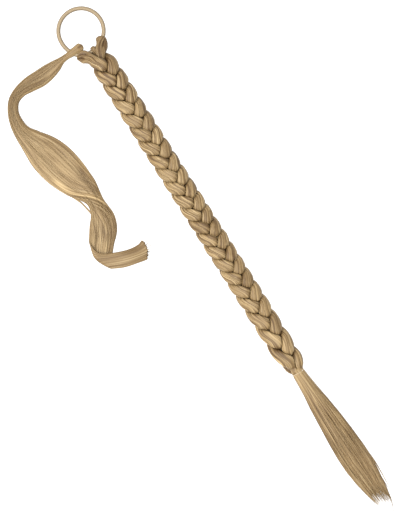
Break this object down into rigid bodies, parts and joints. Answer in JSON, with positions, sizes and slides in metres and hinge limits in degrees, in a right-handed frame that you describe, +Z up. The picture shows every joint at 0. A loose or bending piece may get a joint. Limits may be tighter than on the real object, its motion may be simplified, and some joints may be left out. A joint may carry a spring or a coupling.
{
  "type": "braided ponytail extension",
  "caption": "Long plait of false hair looped on a covered elastic ring, with a clear band, a loose tail and a loose lock for winding round a hair tie.",
  "frame": {"origin": "middle of the elastic ring, on the surface that the piece lies on", "axes": "-Y along the braid from the ring to the tail, +X to the side away from the loose lock, +Z up from the surface"},
  "size_m": [0.1423, 0.6099, 0.02],
  "materials": {
    "hair": "silky dark blond fibre, satin",
    "covered_elastic": "thread-covered elastic, matte",
    "clear_rubber": "clear, glossy"
  },
  "bodies": {
    "root": {"elastic_ring": "covered_elastic", "strand_left": "hair", "strand_right": "hair", "strand_middle": "hair", "tie_band": "clear_rubber", "tail": "hair", "wrap_lock": "hair"}
  },
  "joints": []
}
